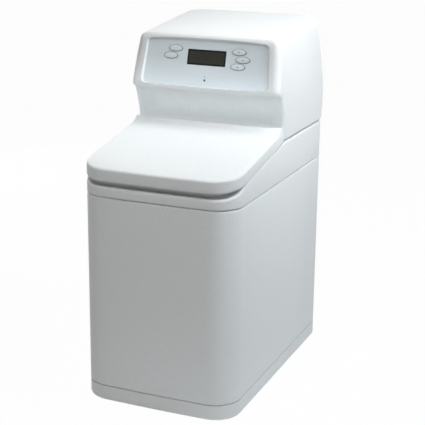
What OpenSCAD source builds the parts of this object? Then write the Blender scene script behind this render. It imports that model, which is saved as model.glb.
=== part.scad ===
// Compact cabinet water softener: salt cabinet, sloping salt lid, lift-off valve cover with
// a leaned control panel, and the resin tank, rotary valve and brine valve inside.
// Millimetres, +Z up, +Y to the rear, origin at the middle of the base's underside.

/* [Cabinet] */
// Width of the cabinet
cabinet_w = 290; // [284:1:310]
// Depth of the cabinet, front to rear
cabinet_d = 470; // [464:1:500]
// Plan radius of the front corners
front_corner_r = 48; // [40:1:52]
// Plan radius of the rear corners
rear_corner_r = 22; // [20:1:28]
// Bow of the front face
front_bow = 3; // [1:0.5:5]
// Wall of the cabinet
wall = 4; // [3.6:0.2:5]
// Height of the seam over the base
base_h = 28.8; // [26:0.2:34]
// Height of the seam under the rim
cabinet_top = 378; // [368:1:392]
// Width of the visible seams
seam = 1.2; // [0.8:0.1:1.6]
// Rounding of the cabinet's top edge
cabinet_edge_r = 3.2; // [2:0.1:3.4]
// Wall of the base tray
base_wall = 3.6; // [3:0.1:4.2]
// Floor of the base tray
base_floor = 4; // [3:0.5:6]
// Rounding of the base's bottom edge
base_edge_r = 5; // [3:0.5:8]

/* [Rim] */
// Height of the rim at the front
rim_front_h = 17.5; // [15:0.5:20]
// Height of the rim under the cover
rim_rear_h = 71; // [68:0.5:76]
// Distance from the hinge back to where the sloping edge levels out
knee_run = 20; // [17:1:25]
// Rounding of the rim's top edge
rim_edge_r = 5; // [3:0.5:6]
// Depth of the tongue inside the cabinet
tongue_h = 12; // [8:1:16]
// Height of the upstand round the mouth
upstand_h = 10; // [8:0.5:11]
// Thickness of the upstand
upstand_t = 2.6; // [2:0.1:3.2]
// Thickness of the valve deck
deck_t = 5; // [4:0.5:7]

/* [Salt lid] */
// Slope of the lid in degrees
lid_slope = 10; // [9:0.25:11]
// Height of the lid's edge
lid_edge_h = 22; // [20:0.5:24]
// Gap between lid and rim
lid_gap = 1.2; // [0.8:0.1:2]
// Rounding of the lid's top edge
lid_edge_r = 4; // [2:0.5:6]
// Skin of the lid
lid_wall = 3; // [2.5:0.1:3.5]
// Crown of the lid's top
lid_crown = 2; // [0.5:0.5:4]
// Distance of the hinge axis from the cabinet's rear
valve_bay = 238; // [237:0.5:241]
// Radius of the rolled rear edge
bead_r = 6.6; // [6.2:0.1:7]
// Radius of the hinge pins
pin_r = 2; // [1.8:0.1:2.2]
// Distance of the hinge brackets from the middle
hinge_x = 100; // [85:1:106]

/* [Top cover] */
// Gap between rim and cover
cover_gap = 3.5; // [2.5:0.5:4]
// Wall of the cover
cover_wall = 3; // [2.5:0.1:3.5]
// Height of the cover's front up to the top edge
cover_front_h = 177.6; // [174:0.2:186]
// Rise of the top towards the rear, as a slope
cover_rise = 0.095; // [0.06:0.005:0.11]
// How far the rear reaches past the cabinet
cover_overhang = 26; // [22:1:30]
// Hollow of the rear from its fullest height up, per square millimetre
rear_bow = 0.0025; // [0.0015:0.0001:0.0028]
// How far each side draws in towards the top edge
cover_draft = 9.5; // [5:0.5:11]
// Plan radius of the cover's front corners
cover_front_r = 12; // [8:0.5:15]
// Plan radius of the cover's rear corners
cover_rear_r = 42; // [34:1:46]
// Rounding of the cover's top edge
cover_edge_r = 16.6; // [12:0.2:18]
// How far the top edge draws back over the panel
brow_r = 4; // [2:0.5:6]
// Crown of the cover's top
cover_crown = 3; // [1:0.5:5]
// Radius of the trough under the panel
trough_r = 30; // [26:1:32]
// Half the length of the trough's straight part
trough_half = 108; // [102:1:112]
// Half the width of the pipe notch in the rear wall
notch_half = 86; // [84:1:92]
// Height of the pipe notch
notch_h = 72; // [68:1:80]

/* [Control panel] */
// Lean of the panel in degrees
panel_lean = 13.7; // [11:0.1:15]
// How far the panel's lower edge stands forward of the hinge
panel_reach = 25.5; // [23:0.5:29]
// Height of the panel's lower edge over the rim
panel_rise = 94; // [92:0.5:98]
// Half the width of the recess at the bottom
panel_half_low = 123.5; // [118:0.5:124]
// Half the width of the recess at the top
panel_half_high = 118.5; // [112:0.5:119]
// Height of the recess at its ends
panel_h = 82; // [80:0.5:83]
// Arch of the recess's top edge
panel_arch = 5; // [3:0.5:5]
// Slope of the recess's rim, as its width around the faceplate
panel_slope = 2; // [1.5:0.1:2.4]
// Depth of the recess
panel_recess = 6; // [5.4:0.1:6.4]
// Thickness of the faceplate
faceplate_t = 2; // [1.6:0.1:2.4]
// Width of the display window
window_w = 74.6; // [66:0.2:78]
// Height of the display window
window_h = 28; // [24:0.5:30]
// Length of a button
button_w = 28; // [25:0.5:29]
// Height of a button
button_h = 11.8; // [10:0.2:12]
// Travel of a button
button_travel = 0.8; // [0.5:0.1:1]

/* [Resin tank] */
// Radius of the resin tank
tank_r = 100; // [92:1:100]
// Wall of the resin tank
tank_wall = 4; // [3:0.5:5]
// Radius of the tank's neck
neck_r = 38; // [36:0.5:40]
// Height of the tank's domes
dome_h = 52; // [45:1:60]
// Radius of the riser tube
riser_r = 13; // [11:0.5:14]

/* [Valve] */
// Radius of the valve body
valve_r = 56; // [55:0.5:60]
// Height of the valve body over its flange
valve_h = 40; // [38:0.5:44]
// Spacing of the inlet and outlet
port_spacing = 68; // [64:1:72]
// Bore of the inlet and outlet
port_bore_r = 14.3; // [13:0.1:15]
// Wall of the inlet and outlet
port_wall = 3.7; // [3:0.1:4.2]
// Depth of the socket in the inlet and outlet
port_depth = 24; // [20:1:26]
// Radius of the rotor shaft
shaft_r = 8; // [7:0.1:8.5]
// Teeth of the cam gear
gear_teeth = 56; // [56:4:60]
// Teeth of the motor pinion
pinion_teeth = 16; // [16:4:20]
// Module of the gear teeth
gear_module = 1.25; // [1.2:0.05:1.25]
// Thickness of the gear
gear_t = 7; // [6:0.5:8]
// Radius of the drive motor
motor_r = 25; // [22:0.5:26]
// Height of the drive motor
motor_h = 19; // [17:0.5:22]

/* [Brine well] */
// Radius of the brine well
well_r = 36; // [34:0.5:37]
// Wall of the brine well
well_wall = 2.4; // [2:0.1:3]
// Drop from the top of the rim to the top of the brine well
well_drop = 55; // [50:1:70]
// Gap between the brine well's foot and the cabinet's wall
well_gap = 7.1; // [5:0.1:11]
// Distance of the brine well forward of the hinge
well_reach = 19; // [13:1:27]
// Radius of the brine float
float_r = 24; // [22:0.5:26]
// Travel of the brine float
float_travel = 60; // [50:1:70]
// Radius of the brine tube
brine_tube_r = 4.8; // [4:0.1:5]

/* [Hidden] */
$fn = 48;
clearance = 0.3;
run_fit = 0.05;
eps = 0.01;
edge_steps = 3;
corner_steps = 8;
rear_steps = 5;
front_steps = 8;
crown_rings = [0.8, 0.5, 0.2];

// Colours
white = [0.93, 0.94, 0.94];
panel_grey = [0.8, 0.84, 0.87];
charcoal = [0.18, 0.18, 0.17];
black = [0.1, 0.1, 0.1];
steel = [0.7, 0.71, 0.72];
blue = [0.2, 0.35, 0.6];
amber = [0.7, 0.5, 0.25];
green = [0.1, 0.4, 0.22];

// Plan of the casing
half_w = cabinet_w / 2;
half_d = cabinet_d / 2;
hinge_y = half_d - valve_bay;
knee_y = hinge_y + knee_run;
panel_y = hinge_y - panel_reach;
bow_r = (half_w * half_w + front_bow * front_bow) / (2 * front_bow);
bow_y = bow_r - half_d;
corner_x = half_w - front_corner_r;
corner_y = bow_y - sqrt(pow(bow_r - front_corner_r, 2) - corner_x * corner_x);
corner_a = atan2(corner_x, bow_y - corner_y);

function arc(x, y, r, a0, a1, n) =
    [for (k = [0:n]) let (a = a0 + (a1 - a0) * k / n) [x + r * cos(a), y + r * sin(a)]];

// Front corners and front face of the plan, drawn in by i
function front_right(i) = arc(corner_x, corner_y, front_corner_r - i, corner_a - 90, 0, corner_steps);
function front_left(i) = arc(-corner_x, corner_y, front_corner_r - i, 180, 270 - corner_a, corner_steps);
function front_face(i) =
    [for (k = [1:front_steps - 1]) let (a = 270 - corner_a + 2 * corner_a * k / front_steps)
        [(bow_r - i) * cos(a), bow_y + (bow_r - i) * sin(a)]];

// Whole plan drawn in by i, with extra points at the given places along the sides
function plan(i, stops = []) = concat(
    front_right(i),
    [for (y = stops) [half_w - i, y]],
    arc(half_w - rear_corner_r, half_d - rear_corner_r, rear_corner_r - i, 0, 90, rear_steps),
    arc(rear_corner_r - half_w, half_d - rear_corner_r, rear_corner_r - i, 90, 180, rear_steps),
    [for (k = [len(stops) - 1:-1:0]) [i - half_w, stops[k]]],
    front_left(i),
    front_face(i)
);
function level(points, z) = [for (p = points) [p.x, p.y, z]];

// Quarter round as inset and drop, from the side face to the top face
function edge_round(r) =
    [for (k = [0:edge_steps]) let (a = 90 * k / edge_steps) [r * (1 - cos(a)), r * (sin(a) - 1)]];

// Solid through rings of equal length, closed flat at both ends or joined into a loop
module loft(rings, loop = false) {
    n = len(rings[0]);
    m = len(rings);
    bands = loop ? m - 1 : m - 2;
    sides = [for (k = [0:bands], j = [0:n - 1])
        let (i = (j + 1) % n, up = ((k + 1) % m) * n, a = k * n + j, b = k * n + i, c = up + j, d = up + i)
        each [[a, c, d], [a, d, b]]];
    ends = [[for (j = [0:n - 1]) j], [for (j = [n - 1:-1:0]) (m - 1) * n + j]];
    polyhedron([for (r = rings) each r], loop ? sides : concat(sides, ends), convexity = 8);
}

// Tube of radius r along a route, with eight sides
function unit(v) = v / norm(v);
module sweep(route, r, sides = 8) {
    last = len(route) - 1;
    rings = [for (k = [0:last])
        let (t = unit(route[min(k + 1, last)] - route[max(k - 1, 0)]),
             u = unit(cross(abs(t.z) > 0.8 ? [0, 1, 0] : [0, 0, 1], t)), v = cross(t, u))
        [for (j = [0:sides - 1]) let (a = 360 * j / sides) route[k] + r * (cos(a) * u + sin(a) * v)]];
    loft(rings);
}

// Lays a profile drawn in Y and Z along X, centred
module along_x(length) {
    translate([-length / 2, 0, 0]) rotate([90, 0, 90]) linear_extrude(length) children();
}

module ring(r_out, r_in, h) {
    difference() {
        cylinder(r = r_out, h = h);
        translate([0, 0, -1]) cylinder(r = r_in, h = h + 2);
    }
}

// Base and cabinet
base_top = base_h - seam / 2;
shoulder_z = base_h + seam / 2;
cabinet_z = cabinet_top - seam / 2;
nest = base_wall + clearance;
cabinet_floor = base_floor + 5;
small_edge = 0.8;
overflow_x = -84;
overflow_z = cabinet_top - 40;
overflow_r = 8;
grommet_t = 2.5;

module base_tray() {
    bottom = [for (k = [edge_steps:-1:0]) edge_round(base_edge_r)[k]];
    color(white) loft(concat(
        [for (e = bottom) level(plan(e[0]), -e[1])],
        [level(plan(0), base_top - small_edge), level(plan(small_edge), base_top)],
        [level(plan(base_wall), base_top), level(plan(base_wall), base_floor)]
    ));
}

module salt_cabinet() {
    color(white) difference() {
        loft(concat(
            [level(plan(nest + 2), base_floor), level(plan(nest), base_floor + 2)],
            [level(plan(nest), shoulder_z)],
            [level(plan(small_edge), shoulder_z), level(plan(0), shoulder_z + small_edge)],
            [for (e = edge_round(cabinet_edge_r)) level(plan(e[0]), cabinet_z + e[1])],
            [level(plan(wall), cabinet_z), level(plan(wall), shoulder_z + wall)],
            [level(plan(nest + wall), shoulder_z), level(plan(nest + wall), cabinet_floor)]
        ));
        translate([overflow_x, half_d - 2 * wall, overflow_z]) rotate([-90, 0, 0])
            cylinder(r = overflow_r + grommet_t, h = 3 * wall);
    }
}

// Rim
rim_z = cabinet_top + seam / 2;
tongue_i = wall + clearance;
tongue_z = rim_z - tongue_h;
rim_wall = 3;
rim_inner = tongue_i + rim_wall;
upstand_i = 13;
rim_rear_top = cabinet_top + rim_rear_h;
lid_tan = tan(lid_slope);
lid_z0 = rim_rear_top + lid_gap - lid_tan * knee_y;
dip_start = corner_y + 22;
dip_len = dip_start + half_d - 14;
dip = lid_z0 - lid_gap - lid_tan * half_d - cabinet_top - rim_front_h;
rim_steps = 9;
rim_stops = [for (k = [1:rim_steps]) corner_y + (knee_y - corner_y) * pow(k / rim_steps, 1.5)];
deck_z = rim_rear_top - 3;
deck_front = hinge_y + 15;
deck_lip = 14;
tank_gap = 1;
tank_y = half_d - rim_inner - tank_gap - tank_r;

function ease(t) = let (u = min(1, max(0, t))) u * u * (3 - 2 * u);
function rim_top(y) =
    min(rim_rear_top, lid_z0 - lid_gap + lid_tan * y) - dip * ease((dip_start - y) / dip_len);
function rim_ring(i, h) = [for (p = plan(i, rim_stops)) [p.x, p.y, rim_top(p.y) + h]];
function rim_level(i, z) = level(plan(i, rim_stops), z);

module rim() {
    upstand_in = upstand_i + upstand_t;
    color(white) union() {
        loft(concat(
            [rim_level(tongue_i, tongue_z), rim_level(tongue_i, cabinet_z)],
            [rim_level(cabinet_edge_r, cabinet_z), rim_level(cabinet_edge_r, rim_z)],
            [rim_level(small_edge, rim_z), rim_level(0, rim_z + small_edge)],
            [for (e = edge_round(rim_edge_r)) rim_ring(e[0], e[1])],
            [rim_ring(upstand_i, 0), rim_ring(upstand_i, upstand_h), rim_ring(upstand_in, upstand_h)],
            [rim_ring(upstand_in, -rim_wall), rim_ring(rim_inner, -3 * rim_wall)],
            [rim_level(rim_inner, tongue_z)]
        ), loop = true);
        difference() {
            translate([0, 0, deck_z - deck_t]) linear_extrude(deck_t) deck_plan();
            translate([0, tank_y, deck_z - 2 * deck_t]) cylinder(r = flange_r + 1.5, h = 3 * deck_t);
            translate([venturi_x, venturi_y, deck_z - 2 * deck_t])
                cylinder(r = brine_tube_r + 2, h = 3 * deck_t);
        }
        intersection() {
            translate([-half_w, deck_front, deck_z - deck_lip]) cube([cabinet_w, 3, deck_lip]);
            translate([0, 0, tongue_z]) linear_extrude(rim_rear_h + tongue_h) polygon(plan(tongue_i + 1));
        }
    }
}
module deck_plan() {
    intersection() {
        polygon(plan(tongue_i + 1));
        translate([-half_w, deck_front]) square([cabinet_w, cabinet_d]);
    }
}

// Lid and hinge
bead_sink = 0.6;
lip_r = 28;
lip_run = sqrt(pow(lip_r + bead_r, 2) - pow(lip_r + bead_sink, 2));
hinge_z = lid_z0 + lid_edge_h + lid_tan * hinge_y - bead_sink / cos(lid_slope);
bead_len = cabinet_w - 3;
lid_rear_top = hinge_y + bead_r - 0.6;
lid_rear_low = hinge_y + 8;
knuckle_r = pin_r + 2.2;
knuckle_w = 10;
pocket_r = knuckle_r + 0.5;
pin_len = knuckle_w + 20;

function lid_top(y) = lid_z0 + lid_edge_h + lid_tan * y;
function lid_plan(i, rear) =
    concat(front_right(i), [[half_w - i, rear], [i - half_w, rear]], front_left(i), front_face(i));
function lid_rear(h) = lid_rear_low + (lid_rear_top - lid_rear_low) * h / lid_edge_h;
function lid_ring(i, h, rear) = [for (p = lid_plan(i, rear)) [p.x, p.y, lid_z0 + lid_tan * p.y + h]];
function lid_crown_ring(s) =
    [for (p = lid_plan(lid_edge_r, lid_rear_top))
        let (x = p.x * s, y = (p.y + half_d / 2) * s - half_d / 2)
        [x, y, lid_top(y) + lid_crown * (1 - s * s)]];

module lid_lip() {
    t = bead_r / (lip_r + bead_r);
    along_x(bead_len) translate([hinge_y, hinge_z]) {
        circle(r = bead_r);
        rotate(lid_slope) difference() {
            translate([-lip_run, -lid_wall])
                square([lip_run * (1 - t), lid_wall + t * (lip_r + bead_sink)]);
            translate([-lip_run, lip_r + bead_sink]) circle(r = lip_r, $fn = 96);
        }
    }
}

module salt_lid() {
    reach = 30;
    drop = 60;
    pocket_w = knuckle_w + 1;
    color(white) difference() {
        union() {
            difference() {
                loft(concat(
                    [lid_ring(small_edge, 0, lid_rear(0)), lid_ring(0, small_edge, lid_rear(small_edge))],
                    [for (e = edge_round(lid_edge_r))
                        lid_ring(e[0], lid_edge_h + e[1], lid_rear(lid_edge_h + e[1]))],
                    [for (s = crown_rings) lid_crown_ring(s)]
                ));
                loft([for (h = [-1, lid_edge_h - lid_wall]) lid_ring(lid_wall, h, hinge_y + reach)]);
            }
            lid_lip();
            for (x = [-1, 1], k = [1:4]) lid_rib(x * half_w * k / 5);
        }
        for (s = [-1, 1]) translate([s * hinge_x, hinge_y, hinge_z]) {
            rotate([0, 90, 0]) cylinder(r = pocket_r, h = pocket_w, center = true);
            translate([-pocket_w / 2, -pocket_r, -drop]) cube([pocket_w, reach, drop]);
            translate([-pocket_w / 2, 0, -drop]) cube([pocket_w, reach, drop + pocket_r]);
            rotate([0, 90, 0])
                cylinder(r = pin_r + run_fit, h = pin_len + 2 * clearance, center = true, $fn = 32);
        }
    }
}
// Stiffening rib under the lid's skin
module lid_rib(x) {
    rib_t = 2;
    rib_h = 5;
    front = -half_d + upstand_i + upstand_t + 12;
    hull() for (y = [front, hinge_y - 14])
        translate([x - rib_t / 2, y, lid_top(y) - lid_wall - rib_h]) cube([rib_t, 2, rib_h + lid_wall / 2]);
}

module hinge_pins() {
    color(steel) for (s = [-1, 1])
        translate([s * hinge_x - pin_len / 2, hinge_y, hinge_z]) rotate([0, 90, 0])
            cylinder(r = pin_r, h = pin_len);
}

module hinge_brackets() {
    foot_len = 28;
    foot_t = cover_z - deck_z - 1.5;
    post_t = 5;
    color(white) for (s = [-1, 1]) translate([s * hinge_x, 0, 0])
        along_x(knuckle_w) difference() {
            union() {
                translate([hinge_y, hinge_z]) circle(r = knuckle_r);
                translate([hinge_y - post_t / 2, deck_z]) square([post_t, hinge_z - deck_z]);
                translate([hinge_y - post_t / 2, deck_z]) square([deck_front - hinge_y + foot_len, foot_t]);
            }
            translate([hinge_y, hinge_z]) circle(r = pin_r + run_fit);
        }
}

// Top cover: profiles of the front, drawn from the bottom edge up to the panel
cover_z = rim_rear_top + cover_gap;
cover_front_y = hinge_y + bead_r + 1.9;
panel_z = rim_rear_top + panel_rise;
panel_tan = tan(panel_lean);
lip_round = 10.5;
lip_y = panel_y + lip_round / cos(panel_lean);
lip_z = panel_z;
trough_z = lip_z - lip_round - 2.5 - trough_r;
trough_low_a = 75;
trough_high_a = 80;
trough_y = cover_front_y - trough_r * cos(trough_low_a);
trough_steps = 12;
lip_steps = 5;
lip_from = 260;
lip_to = 180 - panel_lean;
pillar_from = trough_z - trough_r * sin(trough_low_a);
foot_h = 8;
edge_z = cover_z + cover_front_h - cover_edge_r;
panel_rows = 3;
cover_end_z = lip_z + lip_round * sin(lip_to);
trough_end = 44;
pillar_power = 1.45;
pillar_r = 7;
pillar_blend_from = pillar_from + 30;
pillar_blend_h = 42;
draft_from = cover_z + 48;
rear_full_z = draft_from;

// Middle of the front, set back by o from the outside and by p behind the panel
function mid_profile(o, p) = concat(
    [[cover_front_y + o, cover_z], [cover_front_y + o, cover_z + foot_h]],
    [for (k = [0:trough_steps]) let (a = -trough_low_a + (trough_low_a + trough_high_a) * k / trough_steps)
        [trough_y + (trough_r + o) * cos(a), trough_z + (trough_r + o) * sin(a)]],
    lip_profile(o, p)
);
function lip_profile(o, p) = concat(
    [for (k = [0:lip_steps]) let (a = lip_from + (lip_to - lip_from) * k / lip_steps)
        [lip_y + p - min(o, p) + (lip_round - o) * cos(a), lip_z + (lip_round - o) * sin(a)]],
    [for (k = [1:panel_rows]) let (z = cover_end_z + (edge_z - cover_end_z) * k / panel_rows)
        [panel_y + p + (z - panel_z) * panel_tan, z]]
);
// Front of the pillars at the trough's ends
function pillar_profile(o, p) = let (end = lip_profile(o, p)[0]) concat(
    [[cover_front_y + o, cover_z], [cover_front_y + o, cover_z + foot_h]],
    [for (k = [0:trough_steps]) let (t = k / (trough_steps + 1))
        [cover_front_y + 1.2 * o + (end[0] - o - cover_front_y) * pow(t, pillar_power),
            pillar_from + (end[1] - pillar_from) * t]],
    lip_profile(o, p)
);
function trough_share(x, o) = 1 - ease((abs(x) - trough_half - o) / trough_end);
function cover_half(z) =
    half_w - cover_draft * pow(max(0, z - draft_from) / (cover_z + cover_front_h - draft_from), 2);
function front_r(z) = pillar_r + (cover_front_r - pillar_r) * ease((z - pillar_blend_from) / pillar_blend_h);
function cover_rear(z) = half_d + cover_overhang - rear_bow * pow(z - rear_full_z, 2);

side_stops = [0.35, 0.7, 0.84, 0.9, 0.945, 0.975, 1];
front_stops = concat([for (k = [6:-1:0]) -side_stops[k]], [0], side_stops);

// Plan of the cover at height z with its front at y, drawn in by i and starting at the front
function cover_plan(y, z, i) =
    let (w = cover_half(z) - i, r = max(front_r(z) / 2, front_r(z) - i), q = max(4, cover_rear_r - i),
        b = cover_rear(z) - i)
    concat(
        [for (s = front_stops) [s * (w - r), y]],
        [for (k = [1:corner_steps]) let (a = -90 + 90 * k / corner_steps)
            [w - r + r * cos(a), y + r + r * sin(a)]],
        arc(w - q, b - q, q, 0, 90, rear_steps),
        arc(q - w, b - q, q, 90, 180, rear_steps),
        [for (k = [0:corner_steps - 1]) let (a = 180 + 90 * k / corner_steps)
            [r - w + r * cos(a), y + r + r * sin(a)]]
    );
// Ring k of the cover: the plan at that height, hollowed by the trough and tilted towards the top
function cover_ring(k, mid, pillar, i, depth) =
    let (p = pillar[k], m = mid[k], tilt = cover_rise * max(0, p[1] - cover_end_z) / (edge_z - cover_end_z))
    [for (q = cover_plan(p[0], p[1], i))
        let (s = q.y <= p[0] + front_r(p[1]) ? trough_share(q.x, i) : 0)
        [q.x, q.y + s * (m[0] - p[0]), p[1] + s * (m[1] - p[1]) + tilt * (q.y - p[0]) - depth]];
// Rings that round the top edge over and close the crown
function cover_top_rings(y, r, i, depth) =
    let (z = edge_z, middle = (cover_rear(z) + y) / 2, brow = brow_r / r)
    concat(
        [for (k = [1:edge_steps + 1])
            let (a = 90 * k / (edge_steps + 1), in = r * (1 - cos(a)), up = r * sin(a))
            [for (q = cover_plan(y + in * brow + up * panel_tan, z, i + in))
                [q.x, q.y, z + up + cover_rise * (q.y - y) - depth]]],
        [for (s = crown_rings)
            [for (q = cover_plan(y + brow_r + r * panel_tan, z, i + r))
                let (back = middle + (q.y - middle) * s)
                [q.x * s, back, z + r + cover_rise * (back - y) + cover_crown * (1 - s * s) - depth]]]
    );
module cover_solid(o, p, below, depth) {
    mid = mid_profile(o, p);
    pillar = pillar_profile(o, p);
    last = len(mid) - 1;
    foot = [for (q = cover_ring(0, mid, pillar, o, 0)) [q.x, q.y, cover_z - below]];
    loft(concat(
        [foot],
        [for (k = [1:last]) cover_ring(k, mid, pillar, o, k > last - 1 ? depth : 0)],
        cover_top_rings(pillar[last][0], cover_edge_r, o, depth)
    ));
}

jack_x = 60;
jack_r = 5;
jack_boss = 6.5;
notch_gap = 1;
upstand_notch_h = rim_rear_top + upstand_h + notch_gap - cover_z;
jack_z = cover_z + notch_h + 22;
panel_round = 10;
panel_cut = 30;
board_open_w = 204;
board_open_low = 5;
board_open_h = 70;
behind_panel = 9;
panel_corner_steps = 5;
panel_arch_steps = 16;
panel_low = -2;
seat_arch = 1;

module on_panel() {
    translate([0, panel_y, panel_z]) rotate([90 - panel_lean, 0, 0]) children();
}
// Outline of the recess with an arched top, drawn in by i
function panel_top(x, i, arch) = panel_h - i + arch * (1 - pow(x / panel_half_high, 2));
function panel_outline(i, arch) =
    let (r = panel_round - i, low = panel_low + panel_round, x_low = panel_half_low - panel_round,
        x_high = panel_half_high - panel_round, a = atan(2 * arch / panel_half_high),
        x_end = x_high + r * sin(a), high = panel_top(x_end, i, arch) - r * cos(a))
    concat(
        arc(x_low, low, r, -90, 0, panel_corner_steps),
        arc(x_high, high, r, 0, 90 - a, panel_corner_steps),
        [for (k = [1:panel_arch_steps - 1]) let (x = x_end * (1 - 2 * k / panel_arch_steps))
            [x, panel_top(x, i, arch)]],
        arc(-x_high, high, r, 90 + a, 180, panel_corner_steps),
        arc(-x_low, low, r, 180, 270, panel_corner_steps)
    );

gusset_t = 3;
gusset_h = 40;
gusset_side = 12;
gusset_in = upstand_i + upstand_t + 3;
gusset_z = rim_rear_top + upstand_h + clearance;
module gusset(x, y, turn, reach, lean = 0) {
    translate([x, y, gusset_z]) rotate(turn) hull() {
        translate([0, -gusset_t / 2, 0]) cube([reach, gusset_t, 2]);
        translate([-lean, -gusset_t / 2, gusset_h]) cube([1, gusset_t, eps]);
    }
}
module top_cover() {
    rear_y = cover_rear(gusset_z) - cover_wall / 2;
    rear_lean = cover_rear(gusset_z + gusset_h) - cover_rear(gusset_z);
    color(white) difference() {
        union() {
            difference() {
                cover_solid(0, 0, 0, 0);
                cover_solid(cover_wall, behind_panel, 2, cover_wall);
            }
            for (y = [half_d - 145, half_d - 95, half_d - 45]) {
                gusset(half_w - cover_wall / 2 - 1, y, 180, gusset_in);
                gusset(cover_wall / 2 + 1 - half_w, y, 0, gusset_in);
            }
            for (s = [-1, 1])
                gusset(s * (notch_half + gusset_side), rear_y, -90, rear_y - half_d + gusset_in, rear_lean);
            translate([jack_x, cover_rear(jack_z) - jack_boss, jack_z]) rotate([-90, 0, 0])
                cylinder(r = jack_r + 3, h = jack_boss - cover_wall / 2 - 0.5);
        }
        on_panel() {
            loft([
                level(panel_outline(panel_slope, seat_arch), seat_n),
                level(panel_outline(panel_slope, seat_arch), face_n),
                level(panel_outline(0, panel_arch), 0),
                level(panel_outline(0, panel_arch), panel_cut)
            ]);
            translate([-board_open_w / 2, board_open_low, -panel_cut])
                cube([board_open_w, board_open_h, panel_cut]);
        }
        translate([-notch_half, half_d - 20, cover_z - 5]) cube([2 * notch_half, 80, notch_h + 5]);
        translate([jack_x, half_d - 20, jack_z]) rotate([-90, 0, 0])
            cylinder(r = jack_r + clearance, h = 80);
        for (s = [-1, 1]) translate([s * (half_w - upstand_i - upstand_t / 2), cover_front_y, cover_z])
            cube([upstand_t + 2 * notch_gap, 4 * cover_wall, 2 * upstand_notch_h], center = true);
    }
}

// Control panel
seat_n = -panel_recess;
face_n = seat_n + faceplate_t;
window_low = 37.8;
hole_gap = 0.35;
board_n = seat_n - 11;
board_t = 1.6;
board_w = 196;
board_h = 66;
board_low = 7;
switch_h = 4.3;
led_r = 1.5;
led_up = 11.3;
button_gap_x = 61.4;
button_far_x = 69.9;
button_rows = [65.4, 51.9, 39];
button_dome = 1.4;
tab_reach = 1.6;
tab_h = 5;
tab_t = 1;
stem_r = 2;
screw_x = 92;
screw_in = 4;
screw_r = 1.6;

function oval(w, h, z, n = 32) =
    [for (k = [0:n - 1]) let (a = 360 * k / n) [w / 2 * cos(a), h / 2 * sin(a), z]];
function button_places() = [
    [-button_gap_x, button_rows[0]], [-button_far_x, button_rows[1]],
    [button_gap_x, button_rows[0]], [button_far_x, button_rows[1]], [button_gap_x, button_rows[2]]
];

module faceplate() {
    color(panel_grey) on_panel() difference() {
        translate([0, 0, seat_n]) linear_extrude(faceplate_t) difference() {
            polygon(panel_outline(panel_slope + clearance, seat_arch));
            translate([-window_w / 2 - 0.1, window_low - 0.1]) square([window_w + 0.2, window_h + 0.2]);
            for (b = button_places()) translate(b)
                polygon([for (q = oval(button_w + 2 * hole_gap, button_h + 2 * hole_gap, 0)) [q.x, q.y]]);
        }
        translate([0, led_up, seat_n - 1]) cylinder(r = led_r + 0.1, h = faceplate_t + 2);
    }
}
module display_window() {
    lens_t = 1.5;
    color(charcoal) on_panel() translate([-window_w / 2, window_low, seat_n])
        cube([window_w, window_h, lens_t]);
}
module lcd_module() {
    frame = 4;
    depth = 5;
    color(black) on_panel() translate([-window_w / 2 - frame, window_low - frame / 2, seat_n - depth])
        cube([window_w + 2 * frame, window_h + frame, depth]);
}
module screw_places(n) {
    for (s = [-1, 1], up = [screw_in, board_h - screw_in]) translate([s * screw_x, board_low + up, n])
        children();
}
module control_board() {
    post_r = 3.4;
    plug = [32, 14, 9];
    chip = [20, 20, 6];
    color(green) on_panel() difference() {
        union() {
            translate([-board_w / 2, board_low, board_n - board_t]) cube([board_w, board_h, board_t]);
            translate([-plug.x / 2, board_low + 4, board_n - board_t - plug.z]) cube(plug);
            translate([window_w / 4, board_low + 30, board_n - board_t - chip.z]) cube(chip);
            screw_places(board_n) cylinder(r = post_r, h = seat_n - board_n);
        }
        screw_places(board_n - board_t - 1) cylinder(r = screw_r, h = seat_n - board_n + board_t);
    }
}
module board_screws() {
    head_r = 3;
    head_t = 2;
    color(steel) on_panel() screw_places(board_n - board_t - head_t) {
        cylinder(r = head_r, h = head_t);
        cylinder(r = screw_r - run_fit, h = head_t + board_t + 7);
    }
}
module key_switches() {
    body = 6;
    color(black) on_panel() for (b = button_places()) translate([b.x, b.y, board_n]) {
        translate([-body / 2, -body / 2, 0]) cube([body, body, switch_h - 0.8]);
        cylinder(r = 1.7, h = switch_h);
    }
}
module status_led() {
    color(black) on_panel() translate([0, led_up, board_n]) {
        cylinder(r = led_r, h = face_n - board_n - 0.4);
        cylinder(r = led_r + 0.6, h = 4);
    }
}
module power_jack() {
    flange_t = 2;
    out = 0.5;
    depth = 11;
    color(black) translate([jack_x, cover_rear(jack_z) + out, jack_z]) rotate([90, 0, 0])
        difference() {
            union() {
                cylinder(r = jack_r, h = depth + 7);
                translate([0, 0, out + jack_boss]) cylinder(r = jack_r + 2, h = flange_t);
            }
            translate([0, 0, -1]) cylinder(r = jack_r - 2, h = depth + 1);
        }
}

// Domed oval push button with a flange under the faceplate and a stem to its switch
module push_button(place) {
    low_n = seat_n - clearance - tab_t;
    rest_n = board_n + switch_h + button_travel + clearance;
    steps = [0, 0.25, 0.55, 0.8, 0.95];
    color(panel_grey) on_panel() translate([place.x, place.y, 0]) {
        loft(concat(
            [oval(button_w, button_h, low_n)],
            [for (s = steps) oval(button_w - s * button_h * 0.7, button_h - s * button_h * 0.7,
                face_n + 0.4 + (button_dome - 0.4) * sqrt(1 - pow(1 - s, 2)))]
        ));
        translate([-button_w / 2 - tab_reach, -tab_h / 2, low_n])
            cube([button_w + 2 * tab_reach, tab_h, tab_t]);
        translate([0, 0, rest_n]) cylinder(r = stem_r, h = low_n - rest_n + tab_t);
    }
}
module menu_button() { push_button(button_places()[0]); }
module recharge_button() { push_button(button_places()[1]); }
module up_button() { push_button(button_places()[2]); }
module select_button() { push_button(button_places()[3]); }
module down_button() { push_button(button_places()[4]); }

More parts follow.
